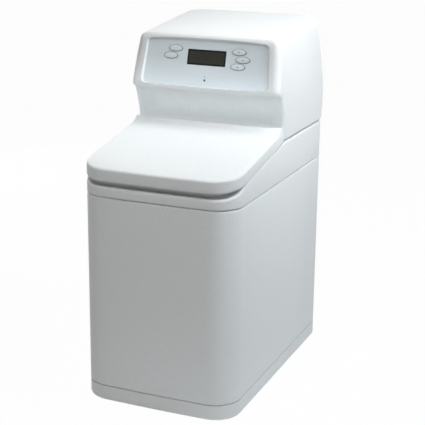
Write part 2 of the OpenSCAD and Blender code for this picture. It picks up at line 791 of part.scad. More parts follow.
// Resin tank
valve_z = rim_rear_top + 9;
tank_foot_z = cabinet_floor;
tank_top = deck_z - deck_t - 4;
flange_h = 6;
flange_r = neck_r + 4;
clamp_lip = 3.2;
clamp_band = 5;
clamp_bolt_x = flange_r + clamp_band + 6;
clamp_bolt_r = 2;
clamp_ear = [14, 16, 2 * flange_h];
dome_steps = 10;
boot_h = 24;
boot_t = 5;
boot_r = 0.72 * tank_r;
bed_top = tank_top - dome_h - 60;
basket_r = riser_r + 7;
dome_low = tank_foot_z + 4 + dome_h;
basket_foot = dome_low + clearance - (dome_h - tank_wall) * sqrt(1 - pow(basket_r / (tank_r - tank_wall), 2));
basket_h = 30;
socket_h = 10;

function dome(r, base, h, up) =
    [for (k = [0:dome_steps]) let (a = 90 * k / dome_steps)
        up > 0 ? [r * cos(a), base + h * sin(a)] : [r * sin(a), base - h * cos(a)]];
function dome_part(r, base, h, up, keep) = [for (p = dome(r, base, h, up)) if (p.x > keep) p];

module resin_tank() {
    low = dome_low;
    high = tank_top - dome_h;
    bore = neck_r - 8;
    color(charcoal) translate([0, tank_y, 0]) {
        rotate_extrude($fn = 96) difference() {
            union() {
                polygon(concat(
                    [[0, low - dome_h]], dome_part(tank_r, low, dome_h, -1, 0.01),
                    dome_part(tank_r, high, dome_h, 1, neck_r), [[neck_r, tank_top], [0, tank_top]]
                ));
                translate([0, tank_top - 12]) square([neck_r, valve_z - tank_top + 12]);
                translate([0, valve_z - flange_h]) square([flange_r, flange_h]);
                translate([boot_r, tank_foot_z]) square([boot_t, boot_h]);
            }
            polygon(concat(
                [[0, low - dome_h + tank_wall]],
                dome_part(tank_r - tank_wall, low, dome_h - tank_wall, -1, 0.01),
                dome_part(tank_r - tank_wall, high, dome_h - tank_wall, 1, bore),
                [[bore, tank_top - tank_wall], [bore, valve_z + 1], [0, valve_z + 1]]
            ));
        }
    }
}
module resin_bed() {
    low = dome_low;
    gap = tank_wall + clearance;
    color(amber) translate([0, tank_y, 0]) difference() {
        rotate_extrude($fn = 96) polygon(concat(
            [[0, low - dome_h + gap]], dome_part(tank_r - gap, low, dome_h - gap, -1, 0.01),
            [[tank_r - gap, bed_top], [0, bed_top]]
        ));
        translate([0, 0, low - dome_h]) cylinder(r = basket_r + 1, h = 60);
        cylinder(r = riser_r + 0.5, h = tank_top);
    }
}
module riser_tube() {
    foot = basket_foot + basket_h - socket_h + clearance;
    color(white) translate([0, tank_y, foot]) ring(riser_r, riser_r - 2, valve_z + 6 - foot);
}
module bottom_distributor() {
    slots = 12;
    color(white) translate([0, tank_y, basket_foot]) difference() {
        union() {
            cylinder(r = basket_r, h = basket_h);
            cylinder(r = riser_r + 3, h = basket_h + 12);
        }
        translate([0, 0, basket_h - socket_h]) cylinder(r = riser_r + run_fit, h = 40);
        translate([0, 0, 4]) cylinder(r = riser_r - 2, h = 40);
        for (k = [0:slots - 1]) rotate(360 * k / slots) translate([riser_r - 4, -0.6, 6])
            cube([20, 1.2, 11]);
    }
}
module top_distributor() {
    slots = 10;
    height = 34;
    color(white) translate([0, tank_y, valve_z - flange_h - height]) difference() {
        ring(neck_r - 10, riser_r + run_fit, height);
        translate([0, 0, 3]) ring(neck_r - 13, riser_r + 2.5, height);
        for (k = [0:slots - 1]) rotate(360 * k / slots) translate([neck_r - 18, -0.6, 5])
            cube([20, 1.2, height - 10]);
    }
}

// Neck clamp and seal
module neck_clamp() {
    gap = 1.5;
    height = 2 * (flange_h + clamp_lip);
    color(white) translate([0, tank_y, valve_z]) difference() {
        union() {
            translate([0, 0, -height / 2]) cylinder(r = flange_r + clamp_band, h = height);
            for (s = [-1, 1]) translate([s * clamp_bolt_x, 0, 0]) cube(clamp_ear, center = true);
        }
        translate([0, 0, -flange_h - clearance])
            cylinder(r = flange_r + clearance, h = 2 * (flange_h + clearance));
        translate([0, 0, -height]) cylinder(r = neck_r + clearance, h = 2 * height);
        translate([-cabinet_w / 2, -gap / 2, -height]) cube([cabinet_w, gap, 2 * height]);
        for (s = [-1, 1]) translate([s * clamp_bolt_x, -clamp_ear.y, 0]) rotate([-90, 0, 0])
            cylinder(r = clamp_bolt_r + 0.1, h = 2 * clamp_ear.y);
    }
}
module clamp_bolts() {
    head_r = 4;
    head_h = 3;
    color(steel) for (s = [-1, 1])
        translate([s * clamp_bolt_x, tank_y - clamp_ear.y / 2, valve_z]) rotate([-90, 0, 0]) {
            translate([0, 0, -head_h]) cylinder(r = head_r, h = head_h, $fn = 6);
            cylinder(r = clamp_bolt_r, h = clamp_ear.y + 5);
            translate([0, 0, clamp_ear.y]) cylinder(r = head_r, h = head_h, $fn = 6);
        }
}
module neck_o_ring() {
    cord_r = 1.6;
    color(black) translate([0, tank_y, valve_z + 2 - clearance])
        rotate_extrude() translate([neck_r - 5, 0]) circle(r = cord_r, $fn = 24);
}

// Valve body: flange on the neck, round chamber and the two rear ports
chamber_z = valve_z + flange_h + clamp_lip + 1.5;
body_top = chamber_z + valve_h;
chamber_r = valve_r - 12;
chamber_floor = body_top - 18;
port_z = chamber_z + 21;
port_r = port_bore_r + port_wall;
port_end = half_d + cover_overhang - 2;
port_bead = 6;
turbine_bore_r = port_bore_r - 1.8;
drain_r = 9;
drain_bore_r = 6;
drain_hole_r = 4.5;
drain_z = chamber_z + 16;
drain_x = valve_r + 4;
screw_count = 6;
screw_circle = valve_r - 5;
valve_screw_r = 2;
valve_screw_in = 12;
valve_head_r = 4;
valve_head_h = 3;
venturi_r = 22;
venturi_a = 225;
venturi_reach = valve_r + venturi_r + 3;
venturi_x = venturi_reach * cos(venturi_a);
venturi_y = tank_y + venturi_reach * sin(venturi_a);
venturi_z = chamber_z + 4;
venturi_h = 22;
arm_w = 16;
arm_h = 18;
seal_t = 3;
passage_x = chamber_r - 10;
passage_y = 8;
drain_hole = [passage_x + 4, -3];
passage_r = 5.5;
passage_drop = 7;

module valve_body() {
    color(white) difference() {
        union() {
            translate([0, tank_y, valve_z]) cylinder(r = flange_r, h = flange_h);
            translate([0, tank_y, valve_z]) cylinder(r = neck_r, h = chamber_z - valve_z + 1);
            translate([0, tank_y, chamber_z]) cylinder(r = valve_r, h = valve_h, $fn = 96);
            for (s = [-1, 1]) translate([s * port_spacing / 2, tank_y, port_z]) rotate([-90, 0, 0]) {
                cylinder(r = port_r, h = port_end - tank_y);
                translate([0, 0, port_end - tank_y - port_bead]) cylinder(r = port_r + 2.5, h = port_bead);
            }
            translate([0, tank_y, drain_z]) rotate([0, 90, 0]) cylinder(r = drain_r, h = drain_x);
            translate([0, tank_y, venturi_z]) rotate(venturi_a) translate([0, -arm_w / 2, 0])
                cube([venturi_reach - venturi_r - clearance, arm_w, arm_h]);
        }
        translate([0, tank_y, chamber_floor]) cylinder(r = chamber_r, h = valve_h, $fn = 96);
        translate([0, tank_y, valve_z - 1]) cylinder(r = riser_r + 0.1, h = 8);
        translate([0, tank_y, valve_z]) cylinder(r = riser_r - 3, h = chamber_floor - valve_z + 1);
        translate([0, tank_y, valve_z - 1]) ring(neck_r - 3, neck_r - 7, 3.2 + 1.6);
        for (s = [-1, 1]) translate([s * port_spacing / 2, 0, port_z]) rotate([-90, 0, 0]) {
            translate([0, 0, port_end - port_depth]) cylinder(r = port_bore_r, h = port_depth + 10);
            translate([0, 0, port_end - port_depth - 34]) cylinder(r = turbine_bore_r, h = 60);
        }
        for (s = [-1, 1]) translate([s * passage_x, tank_y + passage_y, port_z - passage_drop]) {
            translate([0, 0, -2]) cylinder(r = passage_r, h = passage_drop + 4);
            rotate([-90, 0, 0])
                cylinder(r = passage_r - 0.7, h = port_end - port_depth - 30 - tank_y - passage_y);
        }
        translate([drain_x - 26, tank_y, drain_z]) rotate([0, 90, 0]) cylinder(r = drain_bore_r, h = 40);
        translate([drain_hole.x, tank_y + drain_hole.y, drain_z]) cylinder(r = drain_hole_r, h = 12);
        valve_screw_places() translate([0, 0, body_top - valve_screw_in - 2])
            cylinder(r = valve_screw_r + run_fit, h = valve_screw_in + 6);
    }
}
module valve_screw_places() {
    for (k = [0:screw_count - 1])
        translate([0, tank_y, 0]) rotate(360 * k / screw_count) translate([screw_circle, 0, 0]) children();
}
module rotor_seal() {
    color(black) translate([0, tank_y, chamber_floor]) difference() {
        ring(chamber_r - 0.5, 12, seal_t);
        for (s = [-1, 1]) translate([s * passage_x, passage_y, -1])
            cylinder(r = passage_r, h = seal_t + 2);
        translate([drain_hole.x, drain_hole.y, -1]) cylinder(r = drain_hole_r, h = seal_t + 2);
    }
}
rotor_z = chamber_floor + seal_t + clearance;
rotor_t = 9;
pocket_x = chamber_r - 15;
pocket_wide = 7;
cap_t = 6;
bearing_h = 10;
gear_z = body_top + bearing_h + clearance;
hub_r = shaft_r - 2;
module rotor_disc() {
    color(blue) translate([0, tank_y, rotor_z]) difference() {
        union() {
            cylinder(r = chamber_r - 0.6, h = rotor_t, $fn = 96);
            cylinder(r = shaft_r, h = gear_z - rotor_z);
            cylinder(r = hub_r, h = gear_z - rotor_z + gear_t + 1);
        }
        for (a = [0, 120, 240]) rotate(a) translate([pocket_x, 0, -1])
            cylinder(r = pocket_wide, h = rotor_t / 2 + 1);
        for (a = [60, 180, 300]) rotate(a) translate([pocket_x, 0, -1])
            cylinder(r = passage_r - 0.5, h = rotor_t + 2);
        translate([0, 0, gear_z - rotor_z - 6]) cylinder(r = 1.6, h = 30);
    }
}
washer_z = rotor_z + rotor_t + clearance;
washer_t = 1.2;
washer_r = 24;
module wave_washer() {
    color(steel) translate([0, tank_y, washer_z]) ring(washer_r, shaft_r + 4, washer_t);
}
module valve_cover() {
    boss_z = washer_z + washer_t;
    color(white) translate([0, tank_y, 0]) difference() {
        union() {
            translate([0, 0, body_top]) cylinder(r = valve_r, h = cap_t, $fn = 96);
            translate([0, 0, body_top]) cylinder(r = shaft_r + 8, h = bearing_h);
            translate([0, 0, boss_z]) cylinder(r = washer_r, h = body_top - boss_z + 1);
        }
        translate([0, 0, boss_z - 1]) cylinder(r = shaft_r + run_fit, h = 40);
        translate([0, -tank_y, body_top - 1]) valve_screw_places()
            cylinder(r = valve_screw_r + clearance, h = 20);
        translate([0, -tank_y, body_top]) mount_posts() cylinder(r = 1.5, h = 20);
    }
}
module valve_screws() {
    color(steel) valve_screw_places() {
        translate([0, 0, body_top + cap_t]) cylinder(r = valve_head_r, h = valve_head_h);
        translate([0, 0, body_top - valve_screw_in])
            cylinder(r = valve_screw_r, h = valve_screw_in + cap_t + 1);
    }
}

// Gear drive
pitch_r = gear_module * gear_teeth / 2;
pinion_pitch_r = gear_module * pinion_teeth / 2;
gear_distance = pitch_r + pinion_pitch_r;
pressure = 25;
backlash = 0.14;
flank_steps = 3;
function inv(a) = tan(a) - a * PI / 180;
function tooth_half(r, rp, n) = let (rb = rp * cos(pressure))
    90 / n - backlash / (2 * rp) * 180 / PI + (inv(pressure) - inv(acos(min(1, rb / r)))) * 180 / PI;
function gear_points(n) = let (
    rp = gear_module * n / 2,
    rf = rp - 1.25 * gear_module,
    ra = rp + 0.95 * gear_module,
    r0 = max(rf, rp * cos(pressure)),
    flank = concat(r0 > rf + 0.05 ? [[rf, tooth_half(r0, rp, n)]] : [],
        [for (k = [0:flank_steps]) let (r = r0 + (ra - r0) * k / flank_steps) [r, tooth_half(r, rp, n)]]),
    last = len(flank) - 1
) [for (t = [0:n - 1]) each concat(
    [for (k = [0:last]) let (a = 360 * t / n - flank[k][1]) flank[k][0] * [cos(a), sin(a)]],
    [for (k = [last:-1:0]) let (a = 360 * t / n + flank[k][1]) flank[k][0] * [cos(a), sin(a)]]
)];

module cam_gear() {
    cam_h = 3;
    color(white) translate([0, tank_y, gear_z]) difference() {
        union() {
            linear_extrude(gear_t) polygon(gear_points(gear_teeth));
            translate([0, 0, gear_t - eps]) cylinder(r = pitch_r - 6, h = cam_h);
        }
        translate([0, 0, -1]) cylinder(r = hub_r + 0.02, h = 40);
        translate([0, 0, gear_t + 1]) cylinder(r = pitch_r - 12, h = 10);
        for (a = [0, 80, 200]) rotate(a) translate([pitch_r - 14, -4, gear_t + 0.5]) cube([20, 8, 10]);
        for (k = [0:5]) rotate(60 * k) translate([pitch_r * 0.5, 0, -1]) cylinder(r = 5, h = 40);
    }
}
module gear_screw() {
    color(steel) translate([0, tank_y, gear_z + gear_t + 1]) {
        cylinder(r = hub_r + 3, h = 1.5);
        cylinder(r = 4, h = 3.5);
        translate([0, 0, -10]) cylinder(r = 1.55, h = 11);
    }
}
plate_z = gear_z + gear_t + 8;
plate_t = 3;
post_circle = pitch_r + 12;
post_angles = [-135, -45, 90];
motor_y = tank_y - gear_distance;
module mount_posts() {
    for (a = post_angles) translate([0, tank_y, 0]) rotate(a) translate([post_circle, 0, 0]) children();
}
module motor_mount() {
    color(steel) difference() {
        union() {
            translate([0, 0, plate_z]) linear_extrude(plate_t) difference() {
                union() {
                    hull() mount_posts() circle(r = 7);
                    translate([0, motor_y]) circle(r = motor_r + 5);
                }
                translate([0, motor_y]) circle(r = pinion_pitch_r - 2);
                translate([0, tank_y + 6]) circle(r = 22);
            }
            mount_posts() translate([0, 0, body_top + cap_t])
                cylinder(r = 4, h = plate_z - body_top - cap_t + eps);
        }
        mount_posts() translate([0, 0, body_top + cap_t - 1]) cylinder(r = 1.5, h = plate_z - body_top);
        for (s = [-1, 1]) translate([s * (motor_r + 0.5), motor_y, plate_z - 1]) cylinder(r = 1.6, h = 10);
    }
}
module drive_motor() {
    color(steel) translate([0, motor_y, plate_z + plate_t]) difference() {
        union() {
            cylinder(r = motor_r - 3.5, h = motor_h);
            linear_extrude(2) hull() for (s = [-1, 1]) translate([s * (motor_r + 0.5), 0]) circle(r = 4);
            translate([-9, -motor_r - 4, 3]) cube([18, 12, 8]);
        }
        translate([0, 0, -1]) cylinder(r = 2.05, h = 10 + clearance);
        for (s = [-1, 1]) translate([s * (motor_r + 0.5), 0, -1]) cylinder(r = 1.6, h = 10);
    }
}
module motor_screws() {
    color(steel) for (s = [-1, 1]) translate([s * (motor_r + 0.5), motor_y, plate_z]) {
        translate([0, 0, plate_t + 2]) cylinder(r = 3, h = 2);
        cylinder(r = 1.55, h = plate_t + 3);
    }
}
module motor_pinion() {
    color(amber) translate([0, motor_y, gear_z]) {
        rotate(180 / pinion_teeth) linear_extrude(gear_t) polygon(gear_points(pinion_teeth));
        cylinder(r = 4, h = gear_t + 4);
        cylinder(r = 2, h = plate_z + plate_t - gear_z + 8);
    }
}
module position_switch() {
    body = [20, 5, 9];
    body_y = pitch_r + 2;
    lever_y = pitch_r - 6 + 0.4;
    color(black) translate([0, tank_y, plate_z]) difference() {
        union() {
            translate([-body.x / 2, body_y, -body.z]) cube(body);
            translate([-2, lever_y, gear_z + gear_t + 0.9 - plate_z]) cube([4, body_y - lever_y + 1, 2]);
        }
        for (s = [-1, 1]) translate([s * 6, body_y + body.y / 2, -20]) cylinder(r = 1.2, h = 30);
    }
}

// Venturi on the side of the valve
module venturi_housing() {
    color(white) translate([venturi_x, venturi_y, venturi_z]) difference() {
        union() {
            cylinder(r = venturi_r, h = venturi_h);
            translate([0, 0, -10]) cylinder(r = brine_tube_r + 3, h = 11);
        }
        translate([0, 0, venturi_h - 8]) cylinder(r = venturi_r - 3, h = 10);
        translate([0, 0, -11]) cylinder(r = brine_tube_r + 0.1, h = 9);
        translate([0, 0, -5]) cylinder(r = 2.5, h = 30);
    }
}
module nozzle_venturi() {
    color(blue) translate([venturi_x, venturi_y, venturi_z + venturi_h - 8]) difference() {
        union() {
            cylinder(r = venturi_r - 3 - clearance, h = 5);
            cylinder(r = 9, h = 7);
        }
        translate([0, 0, -1]) cylinder(r = 1.2, h = 10);
        translate([7, 0, 5.5]) cylinder(r = 1, h = 3);
    }
}
module venturi_cap() {
    lobes = 8;
    color(white) translate([venturi_x, venturi_y, venturi_z + venturi_h]) difference() {
        union() {
            cylinder(r = venturi_r + 2, h = 6);
            rotate_extrude() intersection() {
                translate([0, -18]) circle(r = 30);
                square([venturi_r, 12]);
            }
        }
        for (k = [0:lobes - 1]) rotate(360 * k / lobes) translate([venturi_r + 4, 0, -1])
            cylinder(r = 4, h = 8);
    }
}

// Flow meter in the outlet
turbine_y = port_end - port_depth - 16;
outlet_x = port_spacing / 2;
module flow_turbine() {
    blades = 6;
    pitch = 30;
    color(blue) translate([outlet_x, turbine_y, port_z]) rotate([-90, 0, 0]) {
        difference() {
            union() {
                translate([0, 0, -6]) cylinder(r = 4, h = 12);
                for (k = [0:blades - 1]) rotate(360 * k / blades) rotate([pitch, 0, 0])
                    translate([0, -0.6, -4]) cube([turbine_bore_r - 1.2, 1.2, 8]);
            }
            translate([0, 0, -10]) cylinder(r = 1.25, h = 20);
        }
    }
}
module turbine_support() {
    color(white) translate([outlet_x, turbine_y, port_z]) rotate([-90, 0, 0]) {
        for (s = [-1, 1]) translate([0, 0, s * 9.3 - 1.5]) difference() {
            cylinder(r = turbine_bore_r - 0.1, h = 3);
            for (k = [0:2]) rotate(120 * k) translate([7, 0, -1]) cylinder(r = 3.6, h = 5);
        }
        translate([0, 0, -9]) cylinder(r = 1.2, h = 18);
    }
}
module flow_sensor() {
    color(black) translate([outlet_x - 7, turbine_y - 10, port_z + port_r - 1.6]) difference() {
        cube([14, 20, 9]);
        translate([7, -1, 1.6 - port_r]) rotate([-90, 0, 0]) cylinder(r = port_r + run_fit, h = 30);
    }
}

// Hose spigot with a stop collar at its root
spigot_r = 6.5;
spigot_bore_r = spigot_r - 2;
spigot_len = 24;
collar_t = 2.5;
module spigot() {
    tip = 2;
    difference() {
        union() {
            cylinder(r = spigot_r, h = spigot_len);
            cylinder(r = spigot_r + 2, h = collar_t);
            translate([0, 0, spigot_len]) cylinder(r1 = spigot_r, r2 = spigot_r - 1, h = tip);
        }
        translate([0, 0, -1]) cylinder(r = spigot_bore_r, h = spigot_len + tip + 2);
    }
}
module drain_elbow() {
    run = port_end - tank_y - spigot_len - 6;
    color(white) translate([drain_x + clearance, tank_y, drain_z]) difference() {
        union() {
            rotate([0, 90, 0]) cylinder(r = drain_bore_r - 0.1, h = 12, center = true);
            rotate([0, 90, 0]) cylinder(r = drain_r, h = drain_r);
            translate([drain_r, 0, 0]) sphere(r = drain_r);
            translate([drain_r, 0, 0]) rotate([-90, 0, 0]) cylinder(r = drain_r - 1, h = run);
            translate([drain_r, run, 0]) rotate([-90, 0, 0]) spigot();
        }
        translate([drain_r, 0, 0]) rotate([-90, 0, 0]) cylinder(r = spigot_bore_r, h = run + 1);
        translate([-10, 0, 0]) rotate([0, 90, 0]) cylinder(r = spigot_bore_r, h = 10 + drain_r);
    }
}

// Brine well and its valve
well_foot = cabinet_floor;
well_foot_r = well_r + 2;
well_top = rim_rear_top - well_drop;
well_h = well_top - well_foot;
well_x = nest + wall + well_gap + well_foot_r - half_w;
well_y = hinge_y - well_reach;
module at_well() {
    translate([well_x, well_y, 0]) children();
}
slot_a = 62;
slot_half = brine_tube_r + 2.5;
slot_h = 22;
cap_lid_t = 3;
cap_skirt = 8;
// Way of the brine tube through the well's upper edge
module tube_slot() {
    rotate(slot_a) translate([0, -slot_half, 0]) children();
}
module brinewell() {
    color(white) at_well() translate([0, 0, well_foot]) difference() {
        union() {
            ring(well_r, well_r - well_wall, well_h);
            ring(well_foot_r, well_r - 1, 3);
        }
        for (k = [0:7], h = [0:3]) rotate(45 * k) translate([well_r - 8, -3, 12 + 16 * h])
            cube([16, 6, 10]);
        tube_slot() translate([0, 0, well_h - slot_h]) cube([well_r + 8, 2 * slot_half, 2 * slot_h]);
    }
}
module brinewell_cap() {
    color(white) at_well() translate([0, 0, well_top]) difference() {
        union() {
            cylinder(r = well_r + 2.5, h = cap_lid_t);
            translate([0, 0, -cap_skirt]) cylinder(r = well_r - well_wall - clearance, h = cap_skirt + 1);
            translate([0, 0, cap_lid_t]) ring(well_r - 8, well_r - 10, 2);
        }
        translate([0, 0, -cap_skirt - 1]) cylinder(r = well_r - 2 * well_wall, h = cap_skirt + 1);
        tube_slot() translate([0, 0, -slot_h]) cube([well_r + 8, 2 * slot_half, slot_h - eps]);
    }
}
valve_low_h = 70;
cage_r = 20;
cage_neck_r = 12;
cage_neck_h = 12;
standpipe_in = 20;
standpipe_x = 14;
standpipe_r = 4.5;
standpipe_top = well_top - 12;
block_r = 8;
float_h = 50;
float_gap = 60;
float_low = well_foot + valve_low_h + float_gap;
stem_wire_r = 2;
module brine_valve() {
    color(white) at_well() difference() {
        union() {
            translate([0, 0, well_foot]) cylinder(r = cage_r, h = valve_low_h - cage_neck_h);
            translate([0, 0, well_foot + valve_low_h - cage_neck_h]) cylinder(r = cage_neck_r, h = cage_neck_h);
            translate([standpipe_x, 0, well_foot + standpipe_in])
                cylinder(r = standpipe_r, h = standpipe_top - well_foot - standpipe_in);
            translate([standpipe_x, 0, standpipe_top - 3]) cylinder(r = block_r, h = 14);
        }
        for (k = [0:7]) rotate(45 * k) translate([cage_r - 5, -1, well_foot + 8]) cube([10, 2, 24]);
    }
}
module float_stem() {
    collar_r = 5;
    collar_t = 2;
    color(steel) at_well() translate([0, 0, well_foot + valve_low_h]) {
        cylinder(r = stem_wire_r, h = float_gap + float_h + float_travel + 20);
        translate([0, 0, float_gap - clearance - collar_t]) cylinder(r = collar_r, h = collar_t);
        translate([0, 0, float_gap + float_h + float_travel + clearance])
            cylinder(r = collar_r, h = collar_t);
    }
}
module brine_float() {
    slot_r = standpipe_r + 1;
    color(amber) at_well() translate([0, 0, float_low]) difference() {
        cylinder(r = float_r, h = float_h);
        translate([0, 0, -1]) cylinder(r = stem_wire_r + run_fit, h = float_h + 2);
        translate([standpipe_x, 0, -1]) cylinder(r = slot_r, h = float_h + 2);
        translate([standpipe_x, -slot_r, -1]) cube([float_r, 2 * slot_r, float_h + 2]);
    }
}

// Brine tube from the venturi down through the deck and forward to the brine valve
bend_r = 12;
bend_steps = 4;
function brine_route() = let (
    v = [venturi_x, venturi_y],
    w = [well_x + standpipe_x, well_y + block_r + clearance],
    z = standpipe_top + 5
) [
    [v.x, v.y, venturi_z - 3],
    for (k = [0:bend_steps]) let (a = 90 * k / bend_steps)
        [v.x, v.y - bend_r * (1 - cos(a)), deck_z - deck_t + 2 - bend_r * sin(a)],
    [w.x + 4, w.y + 46, z + 12],
    [w.x + 3, w.y + 37, z + 3],
    [w.x + 2, w.y + 28, z],
    [w.x, w.y, z]
];
module brine_tube() {
    color(white) sweep(brine_route(), brine_tube_r);
}

// Overflow on the rear wall
module overflow_grommet() {
    color(black) translate([overflow_x, half_d, overflow_z]) rotate([90, 0, 0]) translate([0, 0, -2])
        difference() {
        union() {
            cylinder(r = overflow_r + grommet_t + 3, h = 2);
            cylinder(r = overflow_r + grommet_t - 0.1, h = wall + 4);
            translate([0, 0, wall + 2]) cylinder(r = overflow_r + grommet_t + 3, h = 2);
        }
        translate([0, 0, -1]) cylinder(r = overflow_r + 0.05, h = 20);
    }
}
module overflow_elbow() {
    out = 11;
    drop = 12;
    color(white) translate([overflow_x, half_d + out, overflow_z]) difference() {
        union() {
            rotate([90, 0, 0]) cylinder(r = overflow_r, h = wall + out + 8);
            sphere(r = overflow_r);
            rotate([180, 0, 0]) cylinder(r = overflow_r, h = drop);
            translate([0, 0, -drop]) rotate([180, 0, 0]) spigot();
        }
        rotate([90, 0, 0]) cylinder(r = spigot_bore_r, h = wall + out + 9);
        rotate([180, 0, 0]) cylinder(r = spigot_bore_r, h = drop + 1);
    }
}

base_tray();
salt_cabinet();
rim();
hinge_brackets();
salt_lid();
hinge_pins();
top_cover();
faceplate();
display_window();
lcd_module();
control_board();
key_switches();
board_screws();
status_led();
power_jack();
up_button();
select_button();
down_button();
menu_button();
recharge_button();
resin_tank();
resin_bed();
riser_tube();
top_distributor();
bottom_distributor();
neck_clamp();
clamp_bolts();
neck_o_ring();
valve_body();
rotor_seal();
rotor_disc();
wave_washer();
valve_cover();
valve_screws();
cam_gear();
gear_screw();
motor_mount();
drive_motor();
motor_screws();
motor_pinion();
position_switch();
venturi_housing();
venturi_cap();
nozzle_venturi();
flow_turbine();
turbine_support();
flow_sensor();
drain_elbow();
brine_tube();
brinewell();
brinewell_cap();
brine_valve();
float_stem();
brine_float();
overflow_elbow();
overflow_grommet();
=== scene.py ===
"""Looks for the cabinet water softener: materials, printed signs, studio light and camera."""
import math

import bpy
from mathutils import Matrix, Vector


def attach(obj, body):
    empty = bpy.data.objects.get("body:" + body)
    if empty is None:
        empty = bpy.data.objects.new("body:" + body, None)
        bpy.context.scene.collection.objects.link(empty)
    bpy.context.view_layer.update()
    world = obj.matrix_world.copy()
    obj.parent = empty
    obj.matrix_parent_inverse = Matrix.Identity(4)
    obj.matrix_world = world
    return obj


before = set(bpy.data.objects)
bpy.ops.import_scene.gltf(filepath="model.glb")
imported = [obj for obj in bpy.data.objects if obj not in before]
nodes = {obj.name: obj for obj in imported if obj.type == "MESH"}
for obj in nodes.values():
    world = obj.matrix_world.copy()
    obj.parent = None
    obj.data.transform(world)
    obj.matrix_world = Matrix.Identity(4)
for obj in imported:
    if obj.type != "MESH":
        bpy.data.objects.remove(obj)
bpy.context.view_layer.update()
scene = bpy.context.scene
scene.view_settings.view_transform = "Standard"
MM = 0.001

# Camera, solved from the photograph
IMAGE_PX = 425
FOCAL_PX = 1145.8
SENSOR_MM = 36.0
CAMERA_AT = Vector((0.8058, -1.8915, 0.9058))
CAMERA_YAW = math.radians(22.83)
CAMERA_PITCH = math.radians(16.40)
CAMERA_ROLL = math.radians(0.60)
CAMERA_REACH = 50.0

# Lamps: name, place, aim, size, spread in degrees, colour and watts
LAMPS = [
    ("overhead", (0.30, 0.00, 1.10), (0.25, 0.00, 0.00), (1.1, 1.1), 180, (1.0, 0.90, 0.84), 1.6),
    ("right", (0.95, 0.00, 1.75), (0.10, 0.05, 0.45), (0.7, 0.7), 180, (0.83, 0.95, 1.0), 16.2),
    ("right_beam", (1.50, 0.00, 1.20), (0.14, 0.08, 0.64), (0.4, 0.4), 30, (1.0, 1.0, 1.0), 0.37),
    ("front", (-0.60, -2.60, 0.90), (0.00, -0.10, 0.30), (1.6, 1.2), 180, (1.0, 0.94, 0.87), 3.0),
    ("low", (0.75, -1.15, 0.15), (0.05, -0.18, 0.02), (0.5, 0.1), 40, (1.0, 1.0, 1.0), 0.055),
    ("scoop_beam", (-0.10, -1.80, 0.80), (0.00, 0.00, 0.498), (0.4, 0.02), 6, (0.85, 0.97, 1.0), 0.050),
    ("left_rear", (-1.40, 1.10, 0.75), (0.00, 0.05, 0.32), (1.0, 1.0), 180, (1.0, 1.0, 1.0), 9.5),
    ("lid_beam", (0.05, -0.75, 1.70), (0.00, -0.12, 0.42), (0.4, 0.4), 35, (1.0, 1.0, 1.0), 0.32),
]

# Surroundings: the light they give, how white they show, and the floor's size and level in metres
WORLD_LIGHT = 0.10
WORLD_SHOWN_WHITE = 1.0
FLOOR_SHOWN_WHITE = 0.975
FLOOR_SIZE = 16.0
FLOOR_LEVEL = -0.0005

# Colours, linear
CASING = (0.800, 0.808, 0.812)
PANEL = (0.738, 0.802, 0.838)
BUTTON = (0.745, 0.802, 0.832)
SIGN = (0.180, 0.190, 0.200)
# OUTLINE: grey of the painted shade in the keys' rims, and of the ring round the status lamp
OUTLINE = (0.150, 0.158, 0.158)
LENS = (0.034, 0.035, 0.0275)
LENS_EDGE = (0.013, 0.0137, 0.0108)
BLACK = (0.020, 0.020, 0.021)
IVORY = (0.640, 0.620, 0.560)
NATURAL = (0.720, 0.715, 0.690)
BLUE = (0.040, 0.120, 0.340)
AMBER = (0.420, 0.190, 0.040)
STEEL = (0.560, 0.570, 0.580)
BRASS = (0.650, 0.430, 0.150)
TANK = (0.055, 0.058, 0.062)
FOAM = (0.560, 0.300, 0.090)
RUBBER_DARK = (0.012, 0.012, 0.012)
RUBBER_LIGHT = (0.026, 0.026, 0.027)
LACQUER_DARK = (0.008, 0.070, 0.030)
LACQUER_LIGHT = (0.020, 0.135, 0.060)
TINNED = (0.52, 0.52, 0.50)
PAPER_DARK = (0.90, 0.90, 0.90)
PAPER_LIGHT = (0.92, 0.92, 0.92)

# Shading: how round the casing's edges look and how near points are joined, in metres; a sharp edge's angle
CABINET_EDGE = 0.003
COVER_EDGE = 0.0014
EDGE_SAMPLES = 8
SHARP_ANGLE = math.radians(34)
WELD_DISTANCE = 0.000004

# The panel's plane: its foot in millimetres, its lean, and its directions up and out
PANEL_AT = Vector((0.0, -28.5, 543.0))
PANEL_LEAN = math.radians(13.7)
PANEL_UP = Vector((0, math.sin(PANEL_LEAN), math.cos(PANEL_LEAN)))
PANEL_OUT = Vector((0, -math.cos(PANEL_LEAN), math.sin(PANEL_LEAN)))

# Printing on the panel, in millimetres; the painted shade in a button's rim starts and is full at shares of
# the button's oval
BUTTON_NAMES = ("up_button", "select_button", "down_button", "menu_button", "recharge_button")
BUTTON_SIZE = (28.0, 11.8)
PAINTED_RIM_SHADE_START = 0.87
PAINTED_RIM_SHADE_FULL = 0.93
DISPLAY_BORDER = 2.8
BORDER_FADE = 0.6
INK_BELOW = 0.05
INK_ABOVE = 0.06
STATUS_RING_BORE = 3.4
STATUS_RING_WIDTH = 0.5
STATUS_RING_STEPS = 64
STATUS_MARK_RIGHT = 0.2
STATUS_MARK_UP = 6.0


